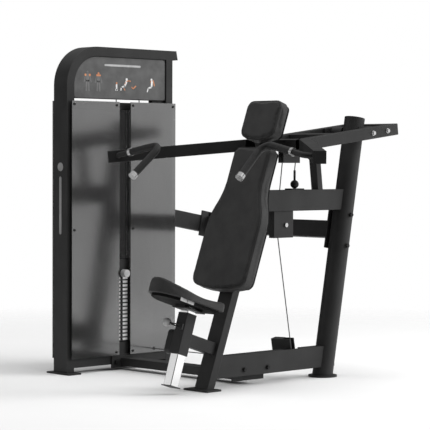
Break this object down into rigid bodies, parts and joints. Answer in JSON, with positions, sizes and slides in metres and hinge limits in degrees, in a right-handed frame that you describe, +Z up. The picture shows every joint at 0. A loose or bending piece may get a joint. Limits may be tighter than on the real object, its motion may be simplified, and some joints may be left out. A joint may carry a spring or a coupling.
{
  "type": "shoulder press machine",
  "caption": "Pin-loaded shoulder press machine: reclined back, head and seat pads, pivoting press arm with two handles, and a shrouded weight stack tower driven by a steel cable.",
  "frame": {"origin": "on the floor, in the user's mid-plane, under the toe of the main upright, where its front face meets the floor", "axes": "+Z up; the seated user faces -X; the weight tower stands towards +Y"},
  "size_m": [1.4596, 1.7217, 1.6006],
  "materials": {
    "black_paint": "satin",
    "black_plastic": "matt",
    "pulley_nylon": "satin",
    "placard_print": "satin print",
    "smoked_panel": "smoked, semi-gloss",
    "chrome": "polished",
    "cast_plate": "painted black",
    "zinc_steel": "zinc plated",
    "satin_aluminium": "satin",
    "grip_rubber": "matt",
    "upholstery": "grained, low sheen",
    "plywood": "painted dark",
    "cable_jacket": "smooth coated",
    "knob_grey": "satin"
  },
  "bodies": {
    "frame": {"tower_bent_tube": "black_paint", "tower_side_column": "black_paint", "tower_base_beam": "black_paint", "tower_top_rail": "black_paint", "foot_plates": "black_paint", "tube_caps": "black_plastic", "placards": "placard_print", "shrouds": "smoked_panel", "shroud_screws": "black_plastic", "guide_rods": "chrome", "weight_plates": "cast_plate", "rubber_bumpers": "grip_rubber", "pulley_brackets": "black_paint", "front_upright": "black_paint", "lower_beam": "black_paint", "upper_beam": "black_paint", "rear_post": "black_paint", "base_cross_beam": "black_paint", "mid_cross_beam": "black_paint", "tower_stub": "black_paint", "frame_bolts": "black_plastic", "rest_post": "black_paint", "seat_sleeve": "black_paint", "latch_cover": "black_plastic", "back_pad": "upholstery", "head_pad": "upholstery", "pad_boards": "plywood", "head_bracket": "black_paint", "floor_pulley_guard": "black_paint", "cable_anchor": "black_plastic", "cable_main": "cable_jacket", "cable_anchor_run": "cable_jacket", "cable_front_run": "cable_jacket", "cable_stack_run": "cable_jacket", "pivot_shaft": "zinc_steel"},
    "press_arm": {"arm_bars": "black_paint", "arm_cross_tubes": "black_paint", "v_arms": "black_paint", "counterweight": "black_paint", "arm_bolts": "zinc_steel", "pivot_hubs": "black_paint", "handle_tubes": "black_paint", "hand_grips": "grip_rubber", "grip_collars": "satin_aluminium", "arm_pulley_bracket": "black_paint", "cable_arm_turn": "cable_jacket"},
    "arm_pulley": {"arm_pulley": "pulley_nylon"},
    "deflector_pulley": {"deflector_pulley": "pulley_nylon"},
    "floor_pulley": {"floor_pulley": "pulley_nylon"},
    "base_pulley": {"base_pulley": "pulley_nylon"},
    "top_pulley_rear": {"top_pulley_rear": "pulley_nylon"},
    "top_pulley_front": {"top_pulley_front": "pulley_nylon"},
    "lifting_plate": {"top_plate": "cast_plate"},
    "selector_pin": {"selector_pin": "knob_grey"},
    "seat": {"seat_post": "chrome", "seat_bracket": "black_paint", "seat_board": "plywood", "seat_pad": "upholstery"},
    "seat_lever": {"seat_lever": "black_paint", "lever_knob": "knob_grey"}
  },
  "joints": [
    {"name": "press", "type": "hinge", "parent": "frame", "child": "press_arm", "pos_m": [1.03567, 0, 1.184], "axis": [0, 1, 0], "range_deg": [0, 30], "deforming": ["cable_front_run", "cable_anchor_run"]},
    {"name": "stack_lift", "type": "slide", "parent": "frame", "child": "lifting_plate", "axis": [0, 0, 1], "range_m": [0, 0.4725], "deforming": ["cable_stack_run"]},
    {"name": "pin_pull", "type": "slide", "parent": "lifting_plate", "child": "selector_pin", "axis": [0, -1, 0], "range_m": [0, 0.06]},
    {"name": "seat_height", "type": "slide", "parent": "frame", "child": "seat", "axis": [0.309, 0, 0.9511], "range_m": [0, 0.14]},
    {"name": "lever_lift", "type": "hinge", "parent": "frame", "child": "seat_lever", "pos_m": [-0.13657, -0.022, 0.30211], "axis": [0.9511, 0, -0.309], "range_deg": [0, 15], "stiffness_Nm_per_rad": 1.5, "springref_deg": -11.46},
    {"name": "arm_pulley_turn", "type": "hinge", "parent": "press_arm", "child": "arm_pulley", "pos_m": [0.5855, 0, 1.089], "axis": [0, 1, 0], "range_deg": [0, 271]},
    {"name": "deflector_pulley_turn", "type": "hinge", "parent": "frame", "child": "deflector_pulley", "pos_m": [0.54003, 0, 0.74006], "axis": [0, 1, 0], "range_deg": [0, 601]},
    {"name": "floor_pulley_turn", "type": "hinge", "parent": "frame", "child": "floor_pulley", "pos_m": [0.599, 0.04468, 0.12587], "axis": [-0.9773, -0.1192, -0.1753], "range_deg": [0, 601]},
    {"name": "base_pulley_turn", "type": "hinge", "parent": "frame", "child": "base_pulley", "pos_m": [0.49805, 0.92134, 0.13745], "axis": [-0.9924, -0.1233, 0], "range_deg": [0, 601]},
    {"name": "top_rear_pulley_turn", "type": "hinge", "parent": "frame", "child": "top_pulley_rear", "pos_m": [0.44851, 0.95651, 1.455], "axis": [-0.2109, 0.9775, 0], "range_deg": [0, 601]},
    {"name": "top_front_pulley_turn", "type": "hinge", "parent": "frame", "child": "top_pulley_front", "pos_m": [0.34649, 0.93449, 1.455], "axis": [-0.2109, 0.9775, 0], "range_deg": [0, 601]}
  ],
  "couplings": [
    {"joint": "stack_lift", "follows": "press", "m_per_rad": 0.9},
    {"joint": "arm_pulley_turn", "follows": "press", "ratio": 9},
    {"joint": "deflector_pulley_turn", "follows": "press", "ratio": 20},
    {"joint": "floor_pulley_turn", "follows": "press", "ratio": 20},
    {"joint": "base_pulley_turn", "follows": "press", "ratio": 20},
    {"joint": "top_rear_pulley_turn", "follows": "press", "ratio": 20},
    {"joint": "top_front_pulley_turn", "follows": "press", "ratio": 20}
  ]
}
